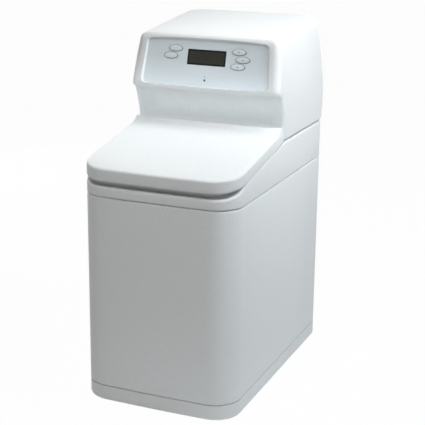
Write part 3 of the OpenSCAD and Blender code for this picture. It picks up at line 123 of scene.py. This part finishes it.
class Nodes:
    """A material's node tree, with short calls to add and join nodes."""

    def __init__(self, name):
        self.material = bpy.data.materials.new(name)
        self.material.use_nodes = True
        self.tree = self.material.node_tree
        self.shader = self.tree.nodes["Principled BSDF"]
        self.coords = self.add("ShaderNodeTexCoord").outputs["Object"]

    def add(self, kind, **values):
        """New node, with values for its sockets or its settings."""
        node = self.tree.nodes.new(kind)
        for key, value in values.items():
            if key in node.inputs:
                node.inputs[key].default_value = value
            else:
                setattr(node, key, value)
        return node

    def join(self, out, into):
        self.tree.links.new(out, into)

    def placed(self, stretch):
        """The coordinates scaled along each axis, so that a texture is drawn out."""
        node = self.add("ShaderNodeMapping", Scale=stretch)
        self.join(self.coords, node.inputs["Vector"])
        return node.outputs["Vector"]

    def noise(self, scale, detail=2.0, rough=0.5, stretch=(1, 1, 1)):
        """Noise of so many features a metre."""
        node = self.add("ShaderNodeTexNoise", Scale=scale, Detail=detail, Roughness=rough)
        self.join(self.placed(stretch), node.inputs["Vector"])
        return node.outputs["Fac"]

    def cells(self, scale, stretch=(1, 1, 1)):
        """Distance from the middles of so many cells a metre."""
        node = self.add("ShaderNodeTexVoronoi", Scale=scale)
        self.join(self.placed(stretch), node.inputs["Vector"])
        return node.outputs["Distance"]

    def bands(self, scale, direction, bend, stretch=(1, 1, 1)):
        """Waves along a direction, bent a little."""
        node = self.add("ShaderNodeTexWave", Scale=scale, Distortion=bend, bands_direction=direction)
        self.join(self.placed(stretch), node.inputs["Vector"])
        return node.outputs["Fac"]

    def axis(self, name):
        """One coordinate, in metres."""
        node = self.add("ShaderNodeSeparateXYZ")
        self.join(self.coords, node.inputs["Vector"])
        return node.outputs[name]

    def panel_up(self):
        """Height up the panel's plane, in metres from its foot."""
        rear = self.calculate("MULTIPLY", self.axis("Y"), PANEL_UP.y)
        tall = self.calculate("MULTIPLY", self.axis("Z"), PANEL_UP.z)
        return self.calculate("SUBTRACT", self.calculate("ADD", rear, tall), PANEL_AT.dot(PANEL_UP) * MM)

    def oval(self, place, size):
        """Distance from a place on the panel, as a share of an oval of the given size in millimetres."""
        squares = []
        for along, middle, length in zip((self.axis("X"), self.panel_up()), place, size):
            off = self.calculate("SUBTRACT", along, middle * MM)
            share = self.calculate("DIVIDE", off, length / 2 * MM)
            squares.append(self.calculate("MULTIPLY", share, share))
        return self.calculate("SQRT", self.calculate("ADD", *squares))

    def spread(self, value, low=0.0, high=1.0, from_low=0.3, from_high=0.7):
        """The value carried from one range to another and held at its ends."""
        node = self.add("ShaderNodeMapRange")
        ranges = {"From Min": from_low, "From Max": from_high, "To Min": low, "To Max": high}
        for key, number in ranges.items():
            node.inputs[key].default_value = number
        self.join(value, node.inputs["Value"])
        return node.outputs["Result"]

    def calculate(self, kind, a, b=0.0):
        """Sum, product or the like; each value may be a number or a node's output."""
        node = self.add("ShaderNodeMath", operation=kind)
        for value, into in zip((a, b), node.inputs):
            if isinstance(value, (int, float)):
                into.default_value = value
            else:
                self.join(value, into)
        return node.outputs["Value"]

    def blend(self, share, dark, light):
        """Colour from dark to light as the share goes from 0 to 1; a colour may be a node's output."""
        node = self.add("ShaderNodeMix", data_type="RGBA")
        sockets = [socket for socket in node.inputs if socket.type == "RGBA"]
        for colour, into in zip((dark, light), sockets):
            if isinstance(colour, tuple):
                into.default_value = (*colour, 1)
            else:
                self.join(colour, into)
        self.join(share, node.inputs["Factor"])
        return [socket for socket in node.outputs if socket.type == "RGBA"][0]

    def paint(self, colour):
        self.join(colour, self.shader.inputs["Base Color"])

    def roughness(self, value):
        self.join(value, self.shader.inputs["Roughness"])

    def bump(self, value, strength, distance, edge=0.0):
        """Relief of the surface; an edge radius in metres rounds the shading of sharp edges."""
        node = self.add("ShaderNodeBump", Strength=strength, Distance=distance)
        self.join(value, node.inputs["Height"])
        if edge:
            round_edge = self.add("ShaderNodeBevel", samples=EDGE_SAMPLES, Radius=edge)
            self.join(round_edge.outputs["Normal"], node.inputs["Normal"])
        self.join(node.outputs["Normal"], self.shader.inputs["Normal"])

    def done(self, **values):
        """The material, with constant values set on its shader."""
        for key, value in values.items():
            self.shader.inputs[key.replace("_", " ")].default_value = value
        return self.material


def shade(colour, factor):
    """A colour made darker or lighter."""
    return tuple(min(1.0, channel * factor) for channel in colour)


def moulded(name, colour, rough=0.45, grain=900.0, depth=0.0002, vary=0.03, edge=0.0):
    """Moulded plastic with an eroded grain: speckle in colour and height, cloudy gloss."""
    m = Nodes(name)
    speckle = m.noise(grain, detail=3.0, rough=0.65)
    cloud = m.noise(scale=7.0, detail=3.0)
    fine = m.blend(m.spread(speckle), shade(colour, 1 - vary), shade(colour, 1 + vary))
    m.paint(m.blend(m.spread(cloud, high=0.6), fine, shade(colour, 0.985)))
    m.roughness(m.spread(cloud, low=rough - 0.04, high=rough + 0.05))
    m.bump(speckle, strength=0.35, distance=depth, edge=edge)
    return m.done(IOR=1.48)


def metal(name, colour, rough, stretch):
    """Drawn or turned metal: streaks along the work, with a few dull spots."""
    m = Nodes(name)
    streak = m.noise(scale=500.0, detail=4.0, rough=0.6, stretch=stretch)
    spots = m.noise(scale=60.0, detail=3.0)
    m.paint(m.blend(m.spread(streak), shade(colour, 0.86), shade(colour, 1.08)))
    polish = m.spread(streak, low=rough - 0.07, high=rough + 0.07)
    dull = m.spread(spots, high=0.12, from_low=0.55, from_high=0.8)
    m.roughness(m.calculate("ADD", polish, dull))
    m.bump(streak, strength=0.2, distance=0.00008)
    return m.done(Metallic=1.0)


def rubber(name):
    """Black seal rubber with a fine dull skin."""
    m = Nodes(name)
    fine = m.noise(scale=1400.0, detail=3.0)
    m.paint(m.blend(m.spread(fine), RUBBER_DARK, RUBBER_LIGHT))
    m.roughness(m.spread(m.noise(scale=40.0), low=0.66, high=0.84))
    m.bump(fine, strength=0.3, distance=0.0001)
    return m.done(IOR=1.5)


def wound(name, colour):
    """Filament-wound shell: two crossing sets of bands under a clear resin."""
    m = Nodes(name)
    one = m.bands(scale=26.0, direction="DIAGONAL", bend=0.6)
    two = m.bands(scale=26.0, direction="DIAGONAL", bend=0.6, stretch=(-1, 1, 1))
    weave = m.calculate("MAXIMUM", one, two)
    strands = m.spread(weave, from_low=0.2, from_high=0.95)
    m.paint(m.blend(strands, shade(colour, 0.75), shade(colour, 1.7)))
    m.roughness(m.spread(m.noise(scale=30.0, detail=3.0), low=0.28, high=0.42))
    m.bump(weave, strength=0.3, distance=0.0006)
    return m.done(Coat_Weight=0.35, Coat_Roughness=0.2)


def beads(name, colour):
    """Packed resin beads, each a little lighter or darker than the next."""
    m = Nodes(name)
    gap = m.cells(scale=1300.0)
    tone = m.spread(m.noise(scale=1300.0, detail=0.0))
    bead = m.blend(tone, shade(colour, 0.8), shade(colour, 1.4))
    m.paint(m.blend(m.spread(gap, low=1.0, high=0.0, from_low=0.1, from_high=0.6), shade(colour, 0.3), bead))
    m.roughness(m.spread(gap, low=0.18, high=0.5, from_low=0.1, from_high=0.6))
    dome = m.spread(gap, low=1.0, high=0.0, from_low=0.0, from_high=0.6)
    m.bump(dome, strength=0.8, distance=0.0006)
    return m.done()


def circuit(name):
    """Green lacquered board: copper tracks under the lacquer and tinned pads."""
    m = Nodes(name)
    track = m.cells(scale=150.0, stretch=(1.0, 2.2, 2.2))
    line = m.spread(track, from_low=0.42, from_high=0.46)
    pad = m.spread(m.cells(scale=210.0), low=1.0, high=0.0, from_low=0.10, from_high=0.13)
    m.paint(m.blend(pad, m.blend(line, LACQUER_DARK, LACQUER_LIGHT), TINNED))
    m.roughness(m.spread(m.noise(scale=80.0), low=0.25, high=0.38))
    m.bump(line, strength=0.3, distance=0.00005)
    return m.done(Coat_Weight=0.3)


def foam(name, colour):
    """Open foam with darker pores."""
    m = Nodes(name)
    pore = m.cells(scale=900.0)
    m.paint(m.blend(m.spread(pore, from_low=0.05, from_high=0.5), shade(colour, 0.6), shade(colour, 1.15)))
    m.roughness(m.spread(m.noise(scale=50.0), low=0.78, high=0.92))
    m.bump(pore, strength=0.6, distance=0.0004)
    return m.done()


def hose(name, colour):
    """Milky drawn tube: faint lines along it and a little light through the wall."""
    m = Nodes(name)
    line = m.noise(scale=700.0, detail=3.0, stretch=(1, 1, 0.05))
    m.paint(m.blend(m.spread(line), shade(colour, 0.93), shade(colour, 1.05)))
    m.roughness(m.spread(m.noise(scale=25.0), low=0.24, high=0.36))
    m.bump(line, strength=0.15, distance=0.0001)
    return m.done(Transmission_Weight=0.18, IOR=1.5)


def button(name, place):
    """Satin key with painted shade, a grey line in the rim of its oval; the place is on the panel, in
    millimetres.
    """
    m = Nodes(name)
    fine = m.noise(scale=1500.0, detail=3.0)
    satin = m.blend(m.spread(fine), shade(BUTTON, 0.98), shade(BUTTON, 1.02))
    # painted shade: a grey line in the key's rim, standing in for the shaded gap and dome edge round it
    line = m.spread(m.oval(place, BUTTON_SIZE), from_low=PAINTED_RIM_SHADE_START, from_high=PAINTED_RIM_SHADE_FULL)
    m.paint(m.blend(line, satin, OUTLINE))
    m.roughness(m.spread(m.noise(scale=20.0), low=0.33, high=0.4))
    m.bump(fine, strength=0.3, distance=0.00006)
    return m.done(IOR=1.48)


def display(name):
    """Dark window with a darker printed border and a slight unevenness in its tint."""
    m = Nodes(name)
    across, up, _ = panel_reach("display_window")
    side = across[1] - DISPLAY_BORDER
    foot = up[0] + DISPLAY_BORDER
    head = up[1] - DISPLAY_BORDER
    off = m.calculate("ABSOLUTE", m.axis("X"))
    height = m.panel_up()
    sides = m.spread(off, from_low=(side - BORDER_FADE) * MM, from_high=side * MM)
    below = m.spread(height, low=1.0, high=0.0, from_low=foot * MM, from_high=(foot + BORDER_FADE) * MM)
    above = m.spread(height, from_low=(head - BORDER_FADE) * MM, from_high=head * MM)
    border = m.calculate("MAXIMUM", sides, m.calculate("MAXIMUM", below, above))
    tint = m.blend(m.spread(m.noise(scale=35.0)), shade(LENS, 0.9), shade(LENS, 1.12))
    m.paint(m.blend(border, tint, LENS_EDGE))
    m.roughness(m.spread(m.noise(scale=300.0, detail=3.0), low=0.16, high=0.24))
    return m.done(IOR=1.49, Specular_IOR_Level=0.12)


def soft_shading():
    """Node group that joins a mesh's facets and keeps only real edges sharp in its shading."""
    group = bpy.data.node_groups.new("soft_shading", "GeometryNodeTree")
    for way in ("INPUT", "OUTPUT"):
        group.interface.new_socket("Geometry", in_out=way, socket_type="NodeSocketGeometry")
    into = group.nodes.new("NodeGroupInput")
    out = group.nodes.new("NodeGroupOutput")
    weld = group.nodes.new("GeometryNodeMergeByDistance")
    weld.inputs["Distance"].default_value = WELD_DISTANCE
    bend = group.nodes.new("GeometryNodeInputMeshEdgeAngle")
    sharp = group.nodes.new("FunctionNodeCompare")
    sharp.inputs["B"].default_value = SHARP_ANGLE
    normal = group.nodes.new("GeometryNodeSetMeshNormal")
    normal.inputs["Remove Custom"].default_value = True
    group.links.new(into.outputs[0], weld.inputs["Geometry"])
    group.links.new(bend.outputs["Unsigned Angle"], sharp.inputs["A"])
    group.links.new(weld.outputs["Geometry"], normal.inputs["Mesh"])
    group.links.new(sharp.outputs["Result"], normal.inputs["Edge Sharpness"])
    group.links.new(normal.outputs["Mesh"], out.inputs[0])
    return group


def dress(material, *names):
    """Give the material to the named CAD nodes."""
    for name in names:
        slots = nodes[name].data.materials
        slots.clear()
        slots.append(material)
        undressed.discard(name)


def on_panel(across, up, out):
    """Point in metres, from its distances across, up and out from the panel's plane in millimetres."""
    return (PANEL_AT + Vector((across, 0, 0)) + PANEL_UP * up + PANEL_OUT * out) * MM


def panel_reach(name):
    """Least and greatest of a CAD node's points across, up and out from the panel, in millimetres."""
    spots = []
    for vertex in nodes[name].data.vertices:
        spot = nodes[name].matrix_world @ vertex.co / MM - PANEL_AT
        spots.append((spot.x, spot.dot(PANEL_UP), spot.dot(PANEL_OUT)))
    return [(min(values), max(values)) for values in zip(*spots)]


def panel_middle(name):
    """Middle of a CAD node across and up the panel."""
    return [(low + high) / 2 for low, high in panel_reach(name)[:2]]


def panel_top(name):
    """How far out from the panel's plane a CAD node stands."""
    return panel_reach(name)[2][1]


def piece(name, points, faces, body, material):
    """New mesh that rides on a body of the frame."""
    mesh = bpy.data.meshes.new(name)
    mesh.from_pydata(points, [], faces)
    mesh.materials.append(material)
    made = bpy.data.objects.new(name, mesh)
    scene.collection.objects.link(made)
    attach(made, body)


def printed(name, outlines, place, level, body, material):
    """Thin printed sign on the panel or a button, from outlines in millimetres about its middle."""
    points, faces = [], []
    for outline in outlines:
        n, first = len(outline), len(points)
        for out in (level - INK_BELOW, level + INK_ABOVE):
            points += [on_panel(place[0] + x, place[1] + y, out) for x, y in outline]
        faces.append([first + n + k for k in range(n)])
        faces.append([first + k for k in reversed(range(n))])
        faces += [[first + k, first + (k + 1) % n, first + n + (k + 1) % n, first + n + k] for k in range(n)]
    piece(name, points, faces, body, material)


def printed_ring(name, bore, width, place, level, body, material):
    """Thin printed ring about a place on the panel, in millimetres."""
    inner, outer = bore / 2, bore / 2 + width
    low, high = level - INK_BELOW, level + INK_ABOVE
    corners = ((inner, low), (outer, low), (outer, high), (inner, high))
    n = STATUS_RING_STEPS
    turns = [2 * math.pi * k / n for k in range(n)]
    points, faces = [], []
    for corner, (radius, out) in enumerate(corners):
        points += [on_panel(place[0] + radius * math.cos(turn), place[1] + radius * math.sin(turn), out)
                   for turn in turns]
        here, there = corner * n, (corner + 1) % len(corners) * n
        faces += [[here + k, here + (k + 1) % n, there + (k + 1) % n, there + k] for k in range(n)]
    piece(name, points, faces, body, material)


def signs():
    """Arrows and tick on the right-hand buttons, and the mark and ring of the status lamp."""
    ink = moulded("sign_ink", SIGN, rough=0.5, grain=2500.0, depth=0.00002, vary=0.08)
    head = [(-1.7, 0.1), (1.7, 0.1), (0.0, 1.7)]
    stem = [(-0.45, -1.6), (0.45, -1.6), (0.45, 0.05), (-0.45, 0.05)]
    arrow = [head, stem]
    tick = [[(-0.3, -1.5), (2.0, 0.9), (1.5, 1.4), (-0.3, -0.5), (-1.1, 0.4), (-1.7, -0.1)]]
    down = [[(-x, -y) for x, y in outline] for outline in arrow]
    for key, outlines in (("up_button", arrow), ("select_button", tick), ("down_button", down)):
        printed(key + ".sign", outlines, panel_middle(key), panel_top(key), key + "_body", ink)
    stroke = [[(-2.0, 1.5), (1.3, -1.6), (1.9, -1.2), (-1.4, 1.9)]]
    across, up = panel_middle("status_led")
    face = panel_top("faceplate")
    printed("status_mark", stroke, (across + STATUS_MARK_RIGHT, up + STATUS_MARK_UP), face, "cover", ink)
    line = moulded("outline_ink", OUTLINE, rough=0.5, grain=2500.0, depth=0.00002, vary=0.08)
    printed_ring("status_outline", STATUS_RING_BORE, STATUS_RING_WIDTH, (across, up), face, "cover", line)


def shown(tree):
    """1 for what the camera sees, directly, mirrored or through glass, and 0 for light on surfaces."""
    path = tree.nodes.new("ShaderNodeLightPath")
    value = path.outputs["Is Camera Ray"]
    for ray in ("Is Glossy Ray", "Is Transmission Ray"):
        node = tree.nodes.new("ShaderNodeMath")
        node.operation = "MAXIMUM"
        tree.links.new(value, node.inputs[0])
        tree.links.new(path.outputs[ray], node.inputs[1])
        value = node.outputs["Value"]
    return value


def white_floor():
    """Paper floor that shows nearly white and still takes the part's shadow."""
    bpy.ops.mesh.primitive_plane_add(size=FLOOR_SIZE, location=(0, 0, FLOOR_LEVEL))
    floor = bpy.context.object
    floor.name = "floor"
    m = Nodes("floor_paper")
    m.roughness(m.spread(m.noise(scale=5.0), low=0.85, high=0.95))
    m.paint(m.blend(m.spread(m.noise(scale=3.0)), PAPER_DARK, PAPER_LIGHT))
    white = m.add("ShaderNodeEmission", Strength=1.0)
    mix = m.add("ShaderNodeMixShader")
    m.join(m.spread(shown(m.tree), high=FLOOR_SHOWN_WHITE, from_low=0.0, from_high=1.0), mix.inputs["Fac"])
    m.join(m.shader.outputs["BSDF"], mix.inputs[1])
    m.join(white.outputs["Emission"], mix.inputs[2])
    m.join(mix.outputs["Shader"], m.tree.nodes["Material Output"].inputs["Surface"])
    floor.data.materials.append(m.material)


def surroundings():
    """World that shows white and gives only a little light."""
    world = bpy.data.worlds.new("studio")
    scene.world = world
    world.use_nodes = True
    tree = world.node_tree
    back = tree.nodes["Background"]
    back.inputs["Color"].default_value = (1, 1, 1, 1)
    strength = tree.nodes.new("ShaderNodeMapRange")
    strength.inputs["To Min"].default_value = WORLD_LIGHT
    strength.inputs["To Max"].default_value = WORLD_SHOWN_WHITE
    tree.links.new(shown(tree), strength.inputs["Value"])
    tree.links.new(strength.outputs["Result"], back.inputs["Strength"])


def lamps():
    """Soft light from above, the right, the front and the left rear, with narrow beams on single faces."""
    for name, place, aim, size, spread, colour, watts in LAMPS:
        data = bpy.data.lights.new(name, "AREA")
        data.shape = "RECTANGLE"
        data.size, data.size_y = size
        data.spread = math.radians(spread)
        data.color = colour
        data.energy = watts
        lamp = bpy.data.objects.new(name, data)
        lamp.location = place
        lamp.rotation_euler = (Vector(aim) - Vector(place)).to_track_quat("-Z", "Y").to_euler()
        scene.collection.objects.link(lamp)


def camera():
    """Camera at the photograph's place, with its yaw, pitch and roll."""
    level = math.cos(CAMERA_PITCH)
    forward = Vector((-math.sin(CAMERA_YAW) * level, math.cos(CAMERA_YAW) * level, -math.sin(CAMERA_PITCH)))
    right = forward.cross(Vector((0, 0, 1))).normalized()
    up = right.cross(forward)
    roll_cos, roll_sin = math.cos(CAMERA_ROLL), math.sin(CAMERA_ROLL)
    right, up = roll_cos * right + roll_sin * up, roll_cos * up - roll_sin * right
    data = bpy.data.cameras.new("camera")
    data.sensor_width = SENSOR_MM
    data.lens = FOCAL_PX / IMAGE_PX * SENSOR_MM
    data.clip_end = CAMERA_REACH
    eye = bpy.data.objects.new("camera", data)
    turn = Matrix((right, up, -forward)).transposed()
    eye.matrix_world = Matrix.Translation(CAMERA_AT) @ turn.to_4x4()
    scene.collection.objects.link(eye)
    scene.camera = eye


undressed = set(nodes)
shading = soft_shading()
for node in nodes.values():
    node.modifiers.new("soft_shading", "NODES").node_group = shading

# Casing and control panel
casing_kinds = (
    ("casing_plastic", CABINET_EDGE, ("base_tray", "salt_cabinet", "rim", "salt_lid")),
    ("cover_plastic", COVER_EDGE, ("top_cover", "hinge_brackets")),
)
for name, edge, pieces in casing_kinds:
    dress(moulded(name, CASING, rough=0.5, grain=380.0, depth=0.0005, vary=0.05, edge=edge), *pieces)
dress(moulded("panel_plastic", PANEL, rough=0.4, grain=900.0, depth=0.0001, vary=0.02), "faceplate")
for key in BUTTON_NAMES:
    dress(button(key + "_plastic", panel_middle(key)), key)
dress(display("display_lens"), "display_window")
dress(circuit("circuit_board"), "control_board")

dress(moulded("black_plastic", BLACK, rough=0.42, grain=1500.0, vary=0.25),
      "lcd_module", "key_switches", "status_led", "power_jack", "position_switch", "flow_sensor",
      "overflow_grommet")

# Valve, tank and brine side
dress(moulded("valve_plastic", IVORY, rough=0.4, grain=700.0, vary=0.05),
      "valve_body", "valve_cover", "venturi_housing", "neck_clamp", "drain_elbow", "overflow_elbow")
dress(moulded("natural_plastic", NATURAL, rough=0.38, grain=800.0, vary=0.04),
      "riser_tube", "top_distributor", "bottom_distributor", "cam_gear", "venturi_cap", "turbine_support",
      "brinewell", "brinewell_cap", "brine_valve")
dress(moulded("blue_plastic", BLUE, rough=0.34, grain=900.0, vary=0.08),
      "rotor_disc", "nozzle_venturi", "flow_turbine")
dress(metal("steel", STEEL, rough=0.32, stretch=(1, 1, 0.08)),
      "hinge_pins", "board_screws", "clamp_bolts", "wave_washer", "valve_screws", "gear_screw",
      "motor_screws", "float_stem")
dress(metal("zinc_plate", shade(STEEL, 0.92), rough=0.42, stretch=(0.12, 1, 1)),
      "motor_mount", "drive_motor")
dress(metal("brass", BRASS, rough=0.3, stretch=(1, 1, 0.1)), "motor_pinion")
dress(rubber("seal_rubber"), "neck_o_ring", "rotor_seal")
dress(wound("wound_tank", TANK), "resin_tank")
dress(beads("resin_beads", AMBER), "resin_bed")
dress(foam("float_foam", FOAM), "brine_float")
dress(hose("brine_hose", NATURAL), "brine_tube")
if undressed:
    raise RuntimeError("no material on " + ", ".join(sorted(undressed)))

signs()
white_floor()
surroundings()
lamps()
camera()
